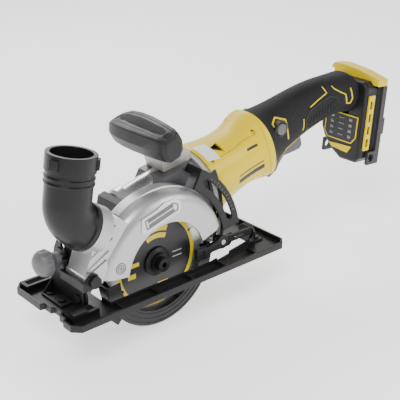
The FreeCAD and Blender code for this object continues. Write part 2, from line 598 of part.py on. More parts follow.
def motor_magnets():
    parts = []
    for a0 in (-55.0, 125.0):
        ring = Part.makeCylinder(21.3, 38, V(93, 0, 0), V(1, 0, 0), 110)
        ring = ring.cut(Part.makeCylinder(17.2, 40, V(92, 0, 0), V(1, 0, 0)))
        ring.rotate(V(0, 0, 0), V(1, 0, 0), a0)
        ring.translate(V(0, MOTOR_Y, MOTOR_Z))
        parts.append(ring)
    return tilted(Part.makeCompound(parts))


def armature():
    core = Part.makeCylinder(16.6, 32, V(96, 0, 0), V(1, 0, 0))
    tools = []
    for i in range(12):
        slot = box(95, 129, -1.1, 1.1, 11.0, 17.0)
        slot.rotate(V(0, 0, 0), V(1, 0, 0), 30 * i)
        tools.append(slot)
    core = cut(core, Part.makeCompound(tools))
    comm = Part.makeCylinder(7.5, 10, V(130.5, 0, 0), V(1, 0, 0))
    body = fuse(core, Part.makeCylinder(6.5, 36, V(94.5, 0, 0), V(1, 0, 0)), comm)
    body = body.cut(Part.makeCylinder(3.02, 60, V(90, 0, 0), V(1, 0, 0)))
    body.translate(V(0, MOTOR_Y, MOTOR_Z))
    return tilted(body)


def fan():
    hub = Part.makeCylinder(7.0, 9, V(62, 0, 0), V(1, 0, 0))
    disc = Part.makeCylinder(21.0, 1.6, V(69.4, 0, 0), V(1, 0, 0))
    blades = []
    for i in range(11):
        vane = box(62.5, 69.6, 6.0, 20.0, -0.8, 0.8)
        vane.rotate(V(0, 0, 0), V(1, 0, 0), 360.0 / 11 * i)
        blades.append(vane)
    body = fuse(hub, disc, *blades)
    body = body.cut(Part.makeCylinder(3.02, 30, V(55, 0, 0), V(1, 0, 0)))
    body.translate(V(0, MOTOR_Y, MOTOR_Z))
    return tilted(body)


# ---- motor housing, grip and foot ----
HOUSING = [(83.2, 29.0, 35.6, 37.0), (96.0, 29.0, 33.8, 34.2), (112.0, 28.5, 31.2, 31.2),
           (130.0, 28.0, 30.2, 29.8), (145.0, 28.2, 31.0, 31.8), (156.0, 29.0, 33.0, 35.4),
           (163.0, 29.0, 33.4, 36.4)]
GRIP = [(163.3, 29.0, 31.6, 34.4), (176.0, 29.6, 27.0, 31.0), (192.0, 30.6, 23.4, 28.4), (210.0, 31.6, 21.2, 26.4),
        (228.0, 31.9, 20.0, 25.2), (248.0, 31.0, 19.8, 23.8), (267.0, 29.0, 20.2, 22.2), (283.0, 25.0, 21.6, 22.0),
        (296.0, 20.6, 23.4, 23.0), (304.0, 18.4, 23.6, 23.2)]
HOUSING_SCREWS = ((92.0, 3.0), (92.0, 55.0), (150.0, 2.6), (150.0, 55.0))


def housing():
    outer = loft(HOUSING)
    inner = loft([(x, zc, ry - 2.6, rz - 2.6) for x, zc, ry, rz in HOUSING])
    rim = cyl_x(MOTOR_Y, MOTOR_Z, 26.0, 70, 90)
    scoop = prism_xz([(97, 61), (112, 53), (112, 59)], 2, 30)
    inner = inner.common(box(85.6, 160.4, -20, 80, -40, 90))
    seats = ((100.0, 102.0, 23.05), (126.0, 128.0, 23.05), (147.0, 150.0, 8.02))
    bosses = [cyl_y(x, z, 4.4, -20, 80) for x, z in HOUSING_SCREWS]
    inner = cut(inner, Part.makeCompound(bosses).cut(cyl_x(MOTOR_Y, MOTOR_Z, 23.3, 80, 170)))
    for x0, x1, r in seats:
        inner = inner.cut(box(x0, x1, -20, 80, -40, 90).cut(cyl_x(MOTOR_Y, MOTOR_Z, r, 80, 170)))
    return cut(outer, inner, rim, cyl_x(MOTOR_Y, 29, 14.0, 155, 170), scoop.cut(inner))


def housing_half(side):
    half = box(70, 180, MOTOR_Y, 90, -40, 90) if side > 0 else box(70, 180, -40, MOTOR_Y, -40, 90)
    shape = housing().common(half)
    holes = [cyl_y(x, z, 1.95, -20, 80) for x, z in HOUSING_SCREWS]
    pockets = [cyl_y(x, z, 3.6, MOTOR_Y + 14.0, 90) for x, z in HOUSING_SCREWS] if side > 0 else []
    return tilted(cut(shape, *holes, *pockets))


def housing_screws():
    return tilted(Part.makeCompound([screw_y(x, z, MOTOR_Y + 16.3, 1, 1.9, 24.0) for x, z in HOUSING_SCREWS]))


def label_plate():
    """Thin blank label on the shoulder of the housing."""
    shell = loft([(x, zc, ry + 0.55, rz + 0.55) for x, zc, ry, rz in HOUSING])
    shell = shell.cut(loft([(x, zc, ry + 0.05, rz + 0.05) for x, zc, ry, rz in HOUSING]))
    window = box(86.5, 101.5, 6, 27, 20, 80)
    return tilted(shell.common(window))


TRIGGER_X0, TRIGGER_X1 = 167.0, 222.0
TRIGGER_PIV = (170.0, 0.0)
BUTTON_X, BUTTON_Z = 182.0, 42.0


def grip():
    """Grip sleeve from the motor collar back to the foot, hollow for the switch."""
    outer = loft(GRIP)
    inner = loft([(x, zc, ry - 3.0, rz - 3.0) for x, zc, ry, rz in GRIP])
    slot = box(TRIGGER_X0 - 2.6, TRIGGER_X1 + 1, MOTOR_Y - 10.6, MOTOR_Y + 10.6, -20, 14)
    button = cyl_y(BUTTON_X, BUTTON_Z, 6.4, -20, 80)
    passage = cyl_x(MOTOR_Y, 31.0, 14.0, 160, 170)
    pin = cyl_y(*TRIGGER_PIV, 2.02, MOTOR_Y - 14.6, MOTOR_Y + 14.6)
    return cut(outer, inner.common(box(166, 302, -20, 90, -40, 90)), slot, button, passage, pin, foot_envelope())


def foot_envelope():
    """The foot block seen from the saw frame, used to trim the grip."""
    block = box(FOOT_FRONT - 0.1, 40, -45, 45, -60, 60)
    block.rotate(V(0, 0, 0), V(0, 1, 0), FOOT_TILT + PITCH)
    x, z = turn_b(FOOT_X, FOOT_Z - AXIS_Z)
    block.translate(V(x, MOTOR_Y, z))
    return block


def grip_half(side):
    half = box(150, 320, MOTOR_Y, 100, -60, 100) if side > 0 else box(150, 320, -40, MOTOR_Y, -60, 100)
    return tilted(grip().common(half))


def lock_surround():
    """Bright frame round the lock-off button, one on each side of the grip."""
    parts = []
    for side in (-1, 1):
        y0, y1 = sorted((MOTOR_Y + side * 20.0, MOTOR_Y + side * 26.4))
        frame = cyl_y(BUTTON_X, BUTTON_Z, 8.6, y0, y1).cut(cyl_y(BUTTON_X, BUTTON_Z, 6.8, y0 - 1, y1 + 1))
        parts.append(frame.cut(loft([(x, zc, ry + 0.06, rz + 0.06) for x, zc, ry, rz in GRIP])))
    return tilted(Part.makeCompound(parts))


def lock_button():
    """Round lock-off button that runs right across the grip."""
    body = cyl_y(BUTTON_X, BUTTON_Z, 6.0, MOTOR_Y - 27.6, MOTOR_Y + 27.6)
    return tilted(soften(body, 0.8, lambda e, m: abs(abs(m.y - MOTOR_Y) - 27.6) < 0.01))


def trigger():
    """Long trigger under the grip, pivoting at its front end."""
    y0, y1 = MOTOR_Y - 10.0, MOTOR_Y + 10.0
    side = [(168, 4), (173, 7), (190, 10.0), (212, 10.4), (220.4, 8), (220.4, -4.5), (217, -6.4), (206, -4.6),
            (194, -2.2), (187, -6.5), (181, -12.4), (170, -15.0), (166, -11), (166, -3)]
    body = prism_xz(side, y0, y1)
    body = soften(body, 3.0, lambda e, m: m.z < -1 and min(abs(m.y - y0), abs(m.y - y1)) < 0.01)
    return tilted(cut(body, cyl_y(*TRIGGER_PIV, 2.05, 0, 80)))


def trigger_pin():
    return tilted(cyl_y(*TRIGGER_PIV, 2.0, MOTOR_Y - 14.5, MOTOR_Y + 14.5))


def switch():
    """Switch module over the trigger with its plunger."""
    body = box(195, 226, MOTOR_Y - 9, MOTOR_Y + 9, 15.0, 40)
    return tilted(fuse(body, box(200, 207, MOTOR_Y - 4, MOTOR_Y + 4, 14.0, 15.0)))


def leads():
    """Red and black leads: from the switch forward to the motor and back to the foot."""
    parts = []
    for dy in (-5.0, 5.0):
        y = MOTOR_Y + dy
        parts += [cyl_x(y, 36.0, 1.5, 226.2, 281.0), cyl_x(y, 31.0, 1.5, 151.4, 194.8)]
    return tilted(Part.makeCompound(parts))


def foot_shell():
    """Black foot behind the grip that carries the battery rails, cut away at its far lower corner."""
    outline = [(FOOT_NEAR, -39), (-27, -45.5), (-6, -46), (8, -38), (20, -25), (FOOT_FAR, -15), (FOOT_FAR, 39),
               (19, 45), (-27, 45), (FOOT_NEAR, 39)]
    block = prism_yz(outline, FOOT_FRONT, 8)
    block = soften(block, 4.0, lambda e, m: abs(m.x - FOOT_FRONT) < 0.1)
    inner = box(-8.5, 5, -29, 21, -22, 37)
    opening = box(FOOT_FRONT - 1, -8, -12, 12, 6, 30)
    return footed(cut(block, inner, opening, box(0.8, 9, -40, 40, 38.0, 60)))


def foot_cap():
    """Bright cap along the rear top edge of the foot, higher in the middle."""
    outline = [(-37, 40.4), (-18, 44.4), (-4, 47.2), (16, 49.2), (29, 48.2), (30, 51.0), (27, 54.6), (16, 55.6),
               (-9, 53.4), (-24, 50.6), (-37, 47.6)]
    skirt = box(1.1, 17, -33, 26, 40.6, 50)
    lid = prism_yz(outline, 1.1, 17)
    below = prism_yz([(-33, 40.6), (26, 40.6), (26, 50), (16, 51), (-9, 49), (-33, 44)], 1.1, 8.0)
    return footed(fuse(lid, skirt.common(below)))


def foot_trim():
    """Bright slotted strips on the sides of the foot and the moulding low on its front."""
    parts = []
    for y0, y1, z0, z1 in ((FOOT_NEAR - 2.3, FOOT_NEAR - 0.1, -30, 31), (FOOT_FAR + 0.1, FOOT_FAR + 2.3, -13, 31)):
        strip = box(-8, 1, y0, y1, z0, z1)
        slots = [box(-5.6, -1.4, y0 - 1, y1 + 1, z, z + 9.0) for z in (-26.0, -12.0, 2.0, 16.0) if z > z0]
        parts.append(cut(strip, *slots))
    parts.append(prism_yz([(-22, -28), (-4, -29), (10, -30), (5, -34.5), (-17, -36)], FOOT_FRONT - 1.3, FOOT_FRONT - 0.1))
    return footed(Part.makeCompound(parts))


def foot_label():
    outline = [(-26.2, 5.6), (17.4, 5.6), (17.4, -18.2), (12.4, -24.4), (-20.6, -24.4), (-26.2, -16.6)]
    return footed(prism_yz(outline, FOOT_FRONT - 0.9, FOOT_FRONT - 0.1))


def battery_rails():
    """Rear frame with two undercut rails, a loop at the foot of each and a bump on each side."""
    plate = box(8.1, 10.6, FOOT_NEAR, FOOT_FAR, -44, 40)
    rails, bumps = [], []
    for side, y_out in ((-1, RAIL_OUT[0]), (1, RAIL_OUT[1])):
        for x0, x1, width in ((10.6, 14.0, 7.0), (14.0, 17.6, 12.0)):
            rails.append(box(x0, x1, *sorted((y_out, y_out - side * width)), -44, 40))
        loop = box(-1.0, 17.6, *sorted((y_out, y_out - side * 3.6)), -47, -32)
        rails.append(loop.cut(cyl_y(4.6, -39.2, 4.2, -40, 40)).cut(box(-2, 8.05, -32.9, 24.9, -50, -30)))
        bumps.append(box(17.6, 20.4, y_out - side * 2 - 2.0, y_out - side * 2 + 2.0, -14, 4))
    vent = [box(7, 12, -20, 12, z, z + 3) for z in (-36.0, -30.0)]
    return footed(cut(fuse(plate, *rails, *bumps), *vent))


RAIL_OUT = (-37.0, 29.0)
PIN_Y = (-16.0, -8.0, 0.0, 8.0)       # blades of the terminal block


def terminal_block():
    body = box(10.8, 16.0, -21, 13, 4, 30)
    return footed(cut(body, *[box(13.0, 17, y - 1.2, y + 1.2, 2, 26) for y in PIN_Y]))


def contacts():
    return footed(Part.makeCompound([box(13.1, 18.6, y - 0.4, y + 0.4, 5, 25.8) for y in PIN_Y]))


# ---- front handle ----
def hand_rest():
    """Palm handle across the front of the tool, narrower towards the near end."""
    wires = []
    for y, xc, zc, rx, rz in ((-15.0, 39.5, 104.0, 8.0, 8.0), (-12.5, 39.5, 104.3, 12.6, 12.2),
                              (-6.0, 39.6, 104.6, 14.6, 13.6), (12.0, 40.2, 104.7, 16.8, 14.0),
                              (30.0, 40.8, 104.7, 18.4, 14.0), (46.0, 41.0, 104.6, 18.4, 13.8),
                              (58.0, 41.0, 104.2, 16.8, 13.0), (66.0, 40.6, 103.4, 13.2, 10.8),
                              (69.5, 40.5, 103.0, 9.0, 7.0)):
        flat = oval(0, 0, 0, rx, rz, 3.4)
        flat.rotate(V(0, 0, 0), V(0, 0, 1), 90)
        flat.translate(V(xc, y, zc))
        wires.append(flat)
    outer = Part.makeLoft(wires, True)
    seat = prism_xz([(43.7, 80), (72, 80), (66.4, 84.2), (56.3, 96.4), (50, 99.4), (43.7, 97.3)], 17.7, 44.3)
    return tilted(outer.cut(seat))


def handle_stalk():
    """Aluminium bracket that carries the palm handle on the gear-case neck."""
    web = prism_xz([(44, 66), (72, 62), (77.8, 63.4), (77.8, 72), (66, 84), (56, 96), (50, 99), (44, 97)], 18, 44)
    web = web.cut(cyl_x(MOTOR_Y, MOTOR_Z, 35.1, 60, 90))
    web = web.cut(fuse(cyl_x(MOTOR_Y, MOTOR_Z, 22.1, 0, 52), cone_x(MOTOR_Y, MOTOR_Z, 22.1, 35.1, 48, 72)))
    web = web.cut(prism_xz([(20, 50), (36, 66.1), (72, 63.1), (72, 40)], 9.0, 47.0))
    web = web.cut(cyl_x(MOTOR_Y, 52.5, 13.7, 4, 47))
    return tilted(web.cut(box(50, 66, 22, 40, 70, 92)))


# ---- lower guard ----
def lower_guard():
    """Swinging guard: near ring, rim, back plate and the front tab that rides on the work."""
    outline = [(47.0, -8.6), (LOWER_R - 1.2, -8.6), (LOWER_R, -7.6), (LOWER_R, 5.0), (14.6, 5.0), (14.6, 3.8),
               (LOWER_R - 1.8, 3.8), (LOWER_R - 1.8, -6.8), (47.0, -6.8)]
    shell = turned(outline, -176.0, 176.0)
    hub = ring_y(0, 0, 14.6, 17.0, 3.8, 5.7)
    tab = arc_band(0, 0, LOWER_R - 0.5, 68.2, -140.5, -133.0, -2.0, 4.8)
    ribs = [arc_band(0, 0, r, r + 1.2, -150.0, -30.0, -9.2, -8.6) for r in (49.5, 54.0, 58.5)]
    return raised(fuse(shell, hub, tab, *ribs))


# ---- spindle lock, dust elbow ----
def spindle_lock():
    """Push pin on the gear case that stops the spindle for a blade change."""
    return tilted(fuse(cyl_y(*SPINDLE_LOCK, 2.4, 34.9, 40.6), cyl_y(*SPINDLE_LOCK, 5.0, 40.6, 45.0)))


ELBOW = ((-76.2, 58.7), (-94.0, 70.1), (-84.0, 128.0))


def elbow_path(start_in=0.0, end_in=0.0):
    """Centre line of the dust elbow: straight, bend, straight."""
    (x0, z0), (xq, zq), (x1, z1) = ELBOW
    u, w = V(xq - x0, 0, zq - z0), V(x1 - xq, 0, z1 - zq)
    u.normalize()
    w.normalize()
    a, b, tan = V(x0, 0, z0), V(x1, 0, z1), 15.4
    q = V(xq, 0, zq)
    t0, t1 = q - u * tan, q + w * tan
    bis = (w - u)
    bis.normalize()
    half = math.acos(max(-1.0, min(1.0, u.dot(w)))) / 2
    radius = tan / math.tan(half)
    centre = q + bis * (radius / math.cos(half))
    mid = centre - bis * radius
    edges = [Part.makeLine(a + u * start_in, t0), Part.Arc(t0, mid, t1).toShape(), Part.makeLine(t1, b + w * end_in)]
    return Part.Wire(edges), a + u * start_in, u, b, w


def sweep(radius):
    wire, start, u, _, _ = elbow_path()
    circle = Part.Wire(Part.makeCircle(radius, start, u))
    return wire.makePipeShell([circle], True, False)


def dust_elbow():
    """Turning elbow of the dust port, ringed, with a bayonet collar at its mouth."""
    _, start, u, end, w = elbow_path()
    tube = sweep(20.5)
    collar = Part.makeCylinder(22.0, 15.0, end - w * 15.0, w)
    rings = [Part.makeCylinder(21.6, 2.0, end - w * d, w) for d in (21.0, 26.0)]
    lugs = []
    for i in range(3):
        lug = box(19.0, 24.0, -4.5, 4.5, 0, 9.0)
        lug.rotate(V(0, 0, 0), V(0, 0, 1), 120 * i + 200)
        lug.rotate(V(0, 0, 0), V(0, 1, 0), math.degrees(math.atan2(w.x, w.z)))
        lug.translate(end - w * 12.0)
        lugs.append(lug)
    base = Part.makeCylinder(22.0, 4.0, start, u)
    spigot = Part.makeCylinder(18.6, 6.0, start - u * 6.0, u)
    bore_start = Part.makeCylinder(17.0, 9.0, start - u * 8.0, u)
    return raised(cut(fuse(tube, collar, base, spigot, *rings, *lugs), sweep(18.0), bore_start))


NODES = {
    "shoe": shoe, "front_stand": front_stand, "rear_stand": rear_stand, "bevel_pins": bevel_pins,
    "shoe_rivets": shoe_rivets, "bevel_bolt": bevel_bolt, "bevel_knob": bevel_knob,
    "tilt_front": tilt_front, "tilt_rear": tilt_rear, "depth_quadrant": quadrant,
    "depth_pin": depth_pin, "upper_guard": upper_guard, "guard_badge": guard_badge,
    "guard_screws": guard_screws, "gear_case": gear_case, "neck_ring": neck_ring,
    "nose_tube": nose_tube, "nose_fairing": nose_fairing, "arc_bracket": arc_bracket,
    "depth_bolt": depth_bolt, "depth_lever": depth_lever, "spindle": spindle,
    "inner_flange": inner_flange, "outer_flange": outer_flange, "blade_bolt": blade_bolt,
    "blade": blade, "spindle_gear": spindle_gear, "layshaft": layshaft, "bevel_gear": bevel_gear,
    "rotor_shaft": rotor_shaft, "bevel_pinion": bevel_pinion, "motor_bearings": motor_bearings,
    "motor_can": motor_can, "motor_magnets": motor_magnets, "armature": armature, "fan": fan,
    "housing_left": lambda: housing_half(-1), "housing_right": lambda: housing_half(1),
    "housing_screws": housing_screws, "label_plate": label_plate,
    "grip_left": lambda: grip_half(-1), "grip_right": lambda: grip_half(1),
    "lock_surround": lock_surround, "lock_button": lock_button, "trigger": trigger,
    "trigger_pin": trigger_pin, "switch": switch, "leads": leads, "foot_shell": foot_shell,
    "foot_cap": foot_cap, "foot_trim": foot_trim, "foot_label": foot_label,
    "battery_rails": battery_rails, "terminal_block": terminal_block, "contacts": contacts,
    "hand_rest": hand_rest, "handle_stalk": handle_stalk, "lower_guard": lower_guard,
    "dust_elbow": dust_elbow, "spindle_lock": spindle_lock,
}

for name, make in NODES.items():
    save(name, make())
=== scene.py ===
import json
import math

import bmesh
import bpy
import numpy as np
from mathutils import Matrix, Vector
from mathutils.bvhtree import BVHTree


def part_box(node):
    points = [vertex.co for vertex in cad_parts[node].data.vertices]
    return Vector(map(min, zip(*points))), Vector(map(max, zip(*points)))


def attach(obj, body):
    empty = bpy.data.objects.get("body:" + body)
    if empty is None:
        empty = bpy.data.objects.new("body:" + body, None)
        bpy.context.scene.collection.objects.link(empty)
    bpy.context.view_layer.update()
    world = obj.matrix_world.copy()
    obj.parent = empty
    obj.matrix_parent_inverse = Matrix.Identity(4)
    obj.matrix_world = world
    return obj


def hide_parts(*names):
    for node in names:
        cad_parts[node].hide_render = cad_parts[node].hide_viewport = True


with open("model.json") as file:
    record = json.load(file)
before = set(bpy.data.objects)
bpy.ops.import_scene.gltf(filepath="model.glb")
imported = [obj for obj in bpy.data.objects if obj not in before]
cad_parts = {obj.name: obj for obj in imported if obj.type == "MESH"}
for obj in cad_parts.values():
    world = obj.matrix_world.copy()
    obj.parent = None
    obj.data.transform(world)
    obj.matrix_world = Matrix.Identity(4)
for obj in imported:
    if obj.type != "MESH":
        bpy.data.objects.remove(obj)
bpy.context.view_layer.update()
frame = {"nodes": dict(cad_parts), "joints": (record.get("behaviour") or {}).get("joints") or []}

NODES = frame["nodes"]
JOINTS = {j["name"]: j for j in frame["joints"]}
MM = 0.001
PITCH = math.radians(15.0)
AXIS = Vector(JOINTS["blade_spin"]["pos_m"])


# ---------------------------------------------------------------- shader maths
class S:
    """A value in a node tree; +, -, *, / make Math nodes."""

    tree = None

    def __init__(self, out):
        self.out = out

    @classmethod
    def node(cls, kind, inputs=None, out=0, **props):
        n = cls.tree.nodes.new(kind)
        for k, v in props.items():
            setattr(n, k, v)
        for k, v in (inputs or {}).items():
            if isinstance(v, S):
                cls.tree.links.new(v.out, n.inputs[k])
            elif v is not None:
                n.inputs[k].default_value = v
        return S(n.outputs[out])

    @classmethod
    def op(cls, name, a, b=None, c=None):
        return cls.node("ShaderNodeMath", {0: a, 1: b, 2: c}, operation=name)

    def __add__(self, o): return S.op("ADD", self, o)
    def __radd__(self, o): return S.op("ADD", self, o)
    def __sub__(self, o): return S.op("SUBTRACT", self, o)
    def __rsub__(self, o): return S.op("SUBTRACT", o, self)
    def __mul__(self, o): return S.op("MULTIPLY", self, o)
    def __rmul__(self, o): return S.op("MULTIPLY", self, o)
    def __truediv__(self, o): return S.op("DIVIDE", self, o)

    def clamp(self): return S.node("ShaderNodeClamp", {0: self})
    def power(self, e): return S.op("POWER", self, e)

    def step(self, lo, hi):
        """0 below lo, 1 above hi, smooth between."""
        return S.node("ShaderNodeMapRange", {0: self, 1: lo, 2: hi, 3: 0.0, 4: 1.0},
                      interpolation_type="SMOOTHSTEP")


def coords():
    return S.node("ShaderNodeTexCoord", out=3)


def parts(vec):
    n = S.tree.nodes.new("ShaderNodeSeparateXYZ")
    S.tree.links.new(vec.out, n.inputs[0])
    return [S(o) for o in n.outputs]


def noise(vec, scale, detail=3.0, rough=0.55, dist=0.0):
    return S.node("ShaderNodeTexNoise", {"Vector": vec, "Scale": scale, "Detail": detail, "Roughness": rough,
                                         "Distortion": dist}, out=0)


def cells(vec, scale):
    return S.node("ShaderNodeTexVoronoi", {"Vector": vec, "Scale": scale}, out=0)


def stretch(vec, sx, sy, sz):
    return S.node("ShaderNodeMapping", {0: vec, 3: (sx, sy, sz)})


def mix(f, a, b):
    """Colour mix; a and b are colours or earlier mixes."""
    n = S.tree.nodes.new("ShaderNodeMix")
    n.data_type = "RGBA"
    for i, v in ((0, f), (6, a), (7, b)):
        if isinstance(v, S):
            S.tree.links.new(v.out, n.inputs[i])
        else:
            n.inputs[i].default_value = (*v, 1.0) if isinstance(v, tuple) else v
    return S(n.outputs[2])


def shade(c, k):
    return tuple(min(1.0, x * k) for x in c)


MATS = {}


def material(name, make):
    m = bpy.data.materials.new(name)
    m.use_nodes = True
    S.tree = m.node_tree
    bsdf = m.node_tree.nodes["Principled BSDF"]
    for socket, value in make(coords()).items():
        if socket == "Bump":
            height, dist = value
            bump = S.node("ShaderNodeBump", {"Height": height, "Distance": dist, "Strength": 1.0})
            m.node_tree.links.new(bump.out, bsdf.inputs["Normal"])
        elif isinstance(value, S):
            m.node_tree.links.new(value.out, bsdf.inputs[socket])
        else:
            bsdf.inputs[socket].default_value = (*value, 1.0) if isinstance(value, tuple) else value
    MATS[name] = m
    return m


def plastic(c, rough=0.45, grain=1800.0, depth=0.00006, dirt=0.25, shine=0.35):
    """Moulded plastic: fine spark-eroded grain, dust in patches, faint rubbing."""
    def make(p):
        grit = noise(p, grain, 2.0)
        patch = noise(p, 22.0, 4.0).step(0.35, 0.75)
        rub = noise(stretch(p, 1.0, 3.0, 1.0), 90.0, 5.0, 0.7).step(0.62, 0.8)
        col = mix(patch * dirt, c, shade(c, 0.72))
        col = mix(rub * 0.18, col, tuple(min(1.0, x * 1.15 + 0.03) for x in c))
        return {"Base Color": col, "Roughness": patch * 0.12 + rub * 0.08 + (rough - 0.05),
                "Specular IOR Level": shine, "Bump": (grit, depth)}
    return make


def rubber(c, rough=0.62):
    def make(p):
        pebble = cells(p, 900.0)
        patch = noise(p, 26.0, 4.0).step(0.35, 0.75)
        col = mix(patch * 0.5, c, tuple(x * 1.5 + 0.008 for x in c))
        return {"Base Color": col, "Roughness": patch * 0.12 + rough, "Specular IOR Level": 0.22,
                "Bump": (pebble, 0.00008)}
    return make


def paint(c, rough=0.38, metal=0.0, chip=(0.30, 0.30, 0.30)):
    """Powder coat on steel with orange-peel skin and small worn spots."""
    def make(p):
        peel = noise(p, 700.0, 2.0)
        worn = noise(p, 160.0, 6.0, 0.7).step(0.70, 0.76)
        dust = noise(p, 18.0, 4.0).step(0.4, 0.8)
        col = mix(dust * 0.35, c, tuple(x * 1.5 + 0.01 for x in c))
        col = mix(worn * 0.55, col, chip)
        return {"Base Color": col, "Roughness": dust * 0.14 + rough, "Metallic": worn * 0.6 + metal,
                "Specular IOR Level": 0.3, "Bump": (peel, 0.00005)}
    return make


def cast(c, rough=0.42, metal=0.85, fine=900.0):
    """Blasted aluminium casting under a clear satin coat."""
    def make(p):
        grit = noise(p, fine, 3.0)
        cloud = noise(p, 14.0, 4.0).step(0.3, 0.8)
        scuff = noise(stretch(p, 1.0, 1.0, 5.0), 120.0, 5.0, 0.75).step(0.64, 0.8)
        col = mix(cloud * 0.4, c, shade(c, 0.8))
        col = mix(scuff * 0.35, col, shade(c, 1.25))
        return {"Base Color": col, "Roughness": cloud * 0.1 + scuff * 0.12 + rough, "Metallic": metal,
                "Bump": (grit, 0.00006)}
    return make


def steel(c, rough=0.25, lines=(1.0, 40.0, 1.0)):
    """Machined or ground steel with fine tool lines."""
    def make(p):
        grind = noise(stretch(p, *lines), 300.0, 3.0)
        stain = noise(p, 30.0, 4.0).step(0.4, 0.75)
        col = mix(stain * 0.35, c, shade(c, 0.7))
        return {"Base Color": col, "Roughness": grind * 0.14 + stain * 0.12 + rough, "Metallic": 0.95,
                "Bump": (grind, 0.00002)}
    return make


MARK = (0.78, 0.58, 0.0)      # paint of the marks on the blade


def blade_face(p):
    """Black coated body with a bright ring and plain marks, ground silver rim and gullets."""
    x, _, z = parts(p)
    dx, dz = x - AXIS.x, z - AXIS.z
    r = (dx * dx + dz * dz).power(0.5)
    turn = S.op("ARCTAN2", dz, dx)
    ring = r.step(0.0406, 0.0410) * (1.0 - r.step(0.0446, 0.0450))
    rim = r.step(0.0446, 0.0450)

    def patch(v, lo, hi):
        return v.step(lo, lo + 0.0002) * (1.0 - v.step(hi, hi + 0.0002))

    upper = patch(turn, 1.12, 2.0) * patch(r, 0.0228, 0.0276)
    upper = upper + patch(turn, 1.16, 2.06) * patch(r, 0.0296, 0.0350)
    side = patch(dx, -0.0345, -0.0200) * patch(dz, 0.0012, 0.0052)
    side = side + patch(dx, -0.0330, -0.0240) * patch(dz, -0.0100, -0.0050)
    lower = patch(dx, -0.0180, -0.0090) * patch(dz, -0.0330, -0.0270)
    lower = lower + patch(dx, 0.0010, 0.0130) * patch(dz, -0.0250, -0.0232)
    bars = side + lower
    small = patch(dx, 0.0190, 0.0300) * (patch(dz, 0.0020, 0.0030) + patch(dz, -0.0030, -0.0020))
    swirl = noise(stretch(p, 3.0, 60.0, 3.0), 220.0, 3.0)
    wear = noise(p, 220.0, 6.0, 0.7).step(0.66, 0.78)
    col = mix(ring, (0.010, 0.010, 0.011), MARK)
    col = mix((upper + bars).clamp(), col, MARK)
    col = mix(small, col, (0.45, 0.45, 0.45))
    col = mix(rim, col, (0.62, 0.62, 0.61))
    col = mix(wear * 0.35, col, (0.35, 0.34, 0.32))
    return {"Base Color": col, "Roughness": swirl * 0.2 + 0.28, "Metallic": rim * 0.9, "Bump": (swirl, 0.00002)}


YELLOW = (0.76, 0.56, 0.0)
BLACK = (0.008, 0.008, 0.009)
material("guard silver", cast((0.50, 0.50, 0.51), 0.36, 0.8))
material("case grey", cast((0.15, 0.15, 0.16), 0.44, 0.55))
material("fairing dark", plastic((0.022, 0.022, 0.024), 0.45))
material("badge silver", cast((0.66, 0.66, 0.67), 0.30, 0.6, 1400.0))
material("stalk grey", cast((0.48, 0.46, 0.43), 0.42, 0.6))
material("shoe black", paint((0.007, 0.007, 0.008), 0.36))
material("bracket black", paint((0.008, 0.008, 0.009), 0.40))
material("lower guard black", paint((0.026, 0.025, 0.027), 0.42))
material("zinc", steel((0.55, 0.55, 0.53), 0.30))
material("bright steel", steel((0.70, 0.70, 0.69), 0.20, (30.0, 1.0, 1.0)))
material("black oxide", steel((0.035, 0.035, 0.037), 0.38))
material("blade face", blade_face)
material("yellow shell", plastic(YELLOW, 0.30, 900.0, 0.00002, 0.04, 0.25))
material("yellow trim", plastic(YELLOW, 0.36, 1500.0, 0.00004, 0.05, 0.25))
material("grip rubber", rubber((0.008, 0.008, 0.009)))
material("black shell", plastic(BLACK, 0.42, 1600.0, 0.00005, 0.3))
material("elbow black", plastic((0.008, 0.008, 0.009), 0.34, 1200.0, 0.00003, 0.3, 0.3))
material("grey button", plastic((0.11, 0.11, 0.115), 0.45))
material("knob grey", plastic((0.13, 0.13, 0.135), 0.42, 1500.0, 0.00005))
material("label dark", plastic((0.022, 0.022, 0.024), 0.5, 2200.0, 0.00002))
material("rail grey", plastic((0.030, 0.030, 0.032), 0.45))
material("label pale", plastic((0.78, 0.78, 0.77), 0.4, 2200.0, 0.00001, 0.1))
material("pale ring", plastic((0.50, 0.50, 0.50), 0.42))
material("copper", steel((0.72, 0.36, 0.20), 0.32))
material("magnet", paint((0.05, 0.05, 0.055), 0.6))
material("lead red", plastic((0.45, 0.02, 0.02), 0.4))
material("print dark", plastic((0.03, 0.028, 0.02), 0.42, 2000.0, 0.00001))
material("border grey", plastic((0.20, 0.20, 0.205), 0.5))

